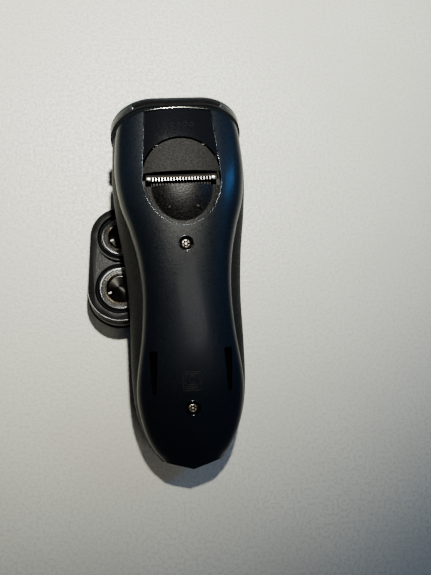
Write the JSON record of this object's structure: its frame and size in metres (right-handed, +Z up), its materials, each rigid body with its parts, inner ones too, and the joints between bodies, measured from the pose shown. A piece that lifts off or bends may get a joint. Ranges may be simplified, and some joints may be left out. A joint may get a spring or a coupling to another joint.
{
  "type": "electric shaver",
  "caption": "Rotary electric shaver lying on its front with a pop-up trimmer in its back; its triangular triple-head shaving unit is off the handle and lies under the grip.",
  "frame": {"origin": "middle of the small flat under the chin of the head end, where the handle rests on the table, on the handle's centre plane", "axes": "+Y along the handle towards its head end, +Z up from the table, +X to the right seen from above with the head end up"},
  "size_m": [0.0763, 0.1682, 0.0574],
  "materials": {
    "black_gloss": "gloss",
    "black_plastic": "satin",
    "blue_black_gloss": "gloss",
    "board_green": "matt",
    "cell_wrap": "satin",
    "chrome": "polished",
    "foil_steel": "polished",
    "grey_rubber": "matt",
    "light_lens": "clear",
    "matt_charcoal": "matt",
    "slate_paint": "metallic gloss",
    "smoked_cap": "satin",
    "steel": "brushed",
    "textured_black": "textured",
    "white_acetal": "satin"
  },
  "bodies": {
    "handle": {"back_cover": "blue_black_gloss", "battery_left": "cell_wrap", "battery_right": "cell_wrap", "charge_light": "light_lens", "charging_socket": "black_plastic", "circuit_board": "board_green", "control_panel": "black_gloss", "cover_screw_lower": "steel", "cover_screw_upper": "steel", "dock_pocket_left": "black_plastic", "dock_pocket_right": "black_plastic", "front_shell": "textured_black", "gear_plate": "black_plastic", "hair_chamber": "slate_paint", "motor": "steel", "motor_mount": "black_plastic", "power_switch": "black_plastic", "screw_well_lower": "black_plastic", "screw_well_upper": "black_plastic", "socket_contact_left": "chrome", "socket_contact_right": "chrome", "trim_strip": "chrome", "trimmer_cradle": "black_plastic", "trimmer_hinge_pin": "steel", "trimmer_panel": "black_gloss"},
    "centre_gear_body": {"centre_gear": "white_acetal"},
    "pinion_body": {"motor_pinion": "steel"},
    "power_button_body": {"power_button": "slate_paint"},
    "release_button_body": {"release_button": "matt_charcoal"},
    "trimmer_body": {"trimmer_lid": "matt_charcoal", "trimmer_comb": "chrome"},
    "trimmer_blade_body": {"trimmer_blade": "steel"},
    "trimmer_slide_body": {"trimmer_slide": "black_plastic"},
    "shaving_unit": {"unit_base": "black_plastic", "unit_band": "grey_rubber", "cutter_frame": "black_plastic", "retaining_plate": "white_acetal"},
    "spindle_gear_body_1": {"spindle_gear_1": "white_acetal"},
    "drive_spindle_body_1": {"drive_spindle_1": "steel"},
    "head_1": {"head_ring_1": "black_plastic", "guard_1": "foil_steel", "head_cap_1": "smoked_cap"},
    "cutter_body_1": {"cutter_1": "steel"},
    "spindle_gear_body_2": {"spindle_gear_2": "white_acetal"},
    "drive_spindle_body_2": {"drive_spindle_2": "steel"},
    "head_2": {"head_ring_2": "black_plastic", "guard_2": "foil_steel", "head_cap_2": "smoked_cap"},
    "cutter_body_2": {"cutter_2": "steel"},
    "spindle_gear_body_3": {"spindle_gear_3": "white_acetal"},
    "drive_spindle_body_3": {"drive_spindle_3": "steel"},
    "head_3": {"head_ring_3": "black_plastic", "guard_3": "foil_steel", "head_cap_3": "smoked_cap"},
    "cutter_body_3": {"cutter_3": "steel"}
  },
  "joints": [
    {"name": "centre_gear_spin", "type": "hinge", "parent": "handle", "child": "centre_gear_body", "pos_m": [0, 0.0236, 0.0296], "axis": [0, 0.8829, -0.4695], "continuous": true},
    {"name": "motor_spin", "type": "hinge", "parent": "handle", "child": "pinion_body", "pos_m": [0, 0.01891, 0.02077], "axis": [0, 0.8829, -0.4695], "continuous": true},
    {"name": "spindle_spin_1", "type": "hinge", "parent": "handle", "child": "spindle_gear_body_1", "pos_m": [-0.01299, 0.02712, 0.03622], "axis": [0, 0.8829, -0.4695], "continuous": true},
    {"name": "spindle_press_1", "type": "slide", "parent": "spindle_gear_body_1", "child": "drive_spindle_body_1", "axis": [0, -0.8829, 0.4695], "range_m": [0, 0.0012], "stiffness_N_per_m": 300, "springref_m": -0.0005},
    {"name": "head_press_1", "type": "slide", "parent": "shaving_unit", "child": "head_1", "axis": [-0.1901, -0.1201, -0.9744], "range_m": [0, 0.001], "stiffness_N_per_m": 300, "springref_m": -0.0005},
    {"name": "cutter_spin_1", "type": "hinge", "parent": "head_1", "child": "cutter_body_1", "pos_m": [-0.00586, -0.03552, 0.01599], "axis": [0.1901, 0.1201, 0.9744], "continuous": true},
    {"name": "spindle_spin_2", "type": "hinge", "parent": "handle", "child": "spindle_gear_body_2", "pos_m": [0.01299, 0.02712, 0.03622], "axis": [0, 0.8829, -0.4695], "continuous": true},
    {"name": "spindle_press_2", "type": "slide", "parent": "spindle_gear_body_2", "child": "drive_spindle_body_2", "axis": [0, -0.8829, 0.4695], "range_m": [0, 0.0012], "stiffness_N_per_m": 300, "springref_m": -0.0005},
    {"name": "head_press_2", "type": "slide", "parent": "shaving_unit", "child": "head_2", "axis": [0.0806, -0.3079, -0.948], "range_m": [0, 0.001], "stiffness_N_per_m": 300, "springref_m": -0.0005},
    {"name": "cutter_spin_2", "type": "hinge", "parent": "head_2", "child": "cutter_body_2", "pos_m": [-0.02714, -0.02076, 0.01391], "axis": [-0.0806, 0.3079, 0.948], "continuous": true},
    {"name": "spindle_spin_3", "type": "hinge", "parent": "handle", "child": "spindle_gear_body_3", "pos_m": [0, 0.01656, 0.01636], "axis": [0, 0.8829, -0.4695], "continuous": true},
    {"name": "spindle_press_3", "type": "slide", "parent": "spindle_gear_body_3", "child": "drive_spindle_body_3", "axis": [0, -0.8829, 0.4695], "range_m": [0, 0.0012], "stiffness_N_per_m": 300, "springref_m": -0.0005},
    {"name": "head_press_3", "type": "slide", "parent": "shaving_unit", "child": "head_3", "axis": [0.1094, 0.0182, -0.9938], "range_m": [0, 0.001], "stiffness_N_per_m": 300, "springref_m": -0.0005},
    {"name": "cutter_spin_3", "type": "hinge", "parent": "head_3", "child": "cutter_body_3", "pos_m": [-0.0294, -0.04639, 0.01751], "axis": [-0.1094, -0.0182, 0.9938], "continuous": true},
    {"name": "power_press", "type": "slide", "parent": "handle", "child": "power_button_body", "axis": [0, 0, 1], "range_m": [0, 0.0008], "stiffness_N_per_m": 300, "springref_m": -0.0005},
    {"name": "release_press", "type": "slide", "parent": "handle", "child": "release_button_body", "axis": [0, -0.4695, -0.8829], "range_m": [0, 0.001], "stiffness_N_per_m": 300, "springref_m": -0.0005},
    {"name": "trimmer_hinge", "type": "hinge", "parent": "handle", "child": "trimmer_body", "pos_m": [0, 0.0121, 0.05404], "axis": [-1, 0, 0], "range_deg": [0, 40]},
    {"name": "trimmer_blade_stroke", "type": "slide", "parent": "trimmer_body", "child": "trimmer_blade_body", "axis": [1, 0, 0], "range_m": [-0.0007, 0.0007]},
    {"name": "trimmer_slide_push", "type": "slide", "parent": "handle", "child": "trimmer_slide_body", "axis": [0, 1, 0], "range_m": [0, 0.0016], "stiffness_N_per_m": 200, "springref_m": -0.0005},
    {"name": "unit_lift_away", "type": "slide", "parent": "handle", "child": "shaving_unit", "axis": [-1, 0, 0], "range_m": [0, 0.08]}
  ],
  "couplings": [
    {"joint": "motor_spin", "follows": "centre_gear_spin", "ratio": -1.5},
    {"joint": "spindle_spin_1", "follows": "centre_gear_spin", "ratio": -0.66667},
    {"joint": "spindle_spin_2", "follows": "centre_gear_spin", "ratio": -0.66667},
    {"joint": "spindle_spin_3", "follows": "centre_gear_spin", "ratio": -0.66667}
  ]
}
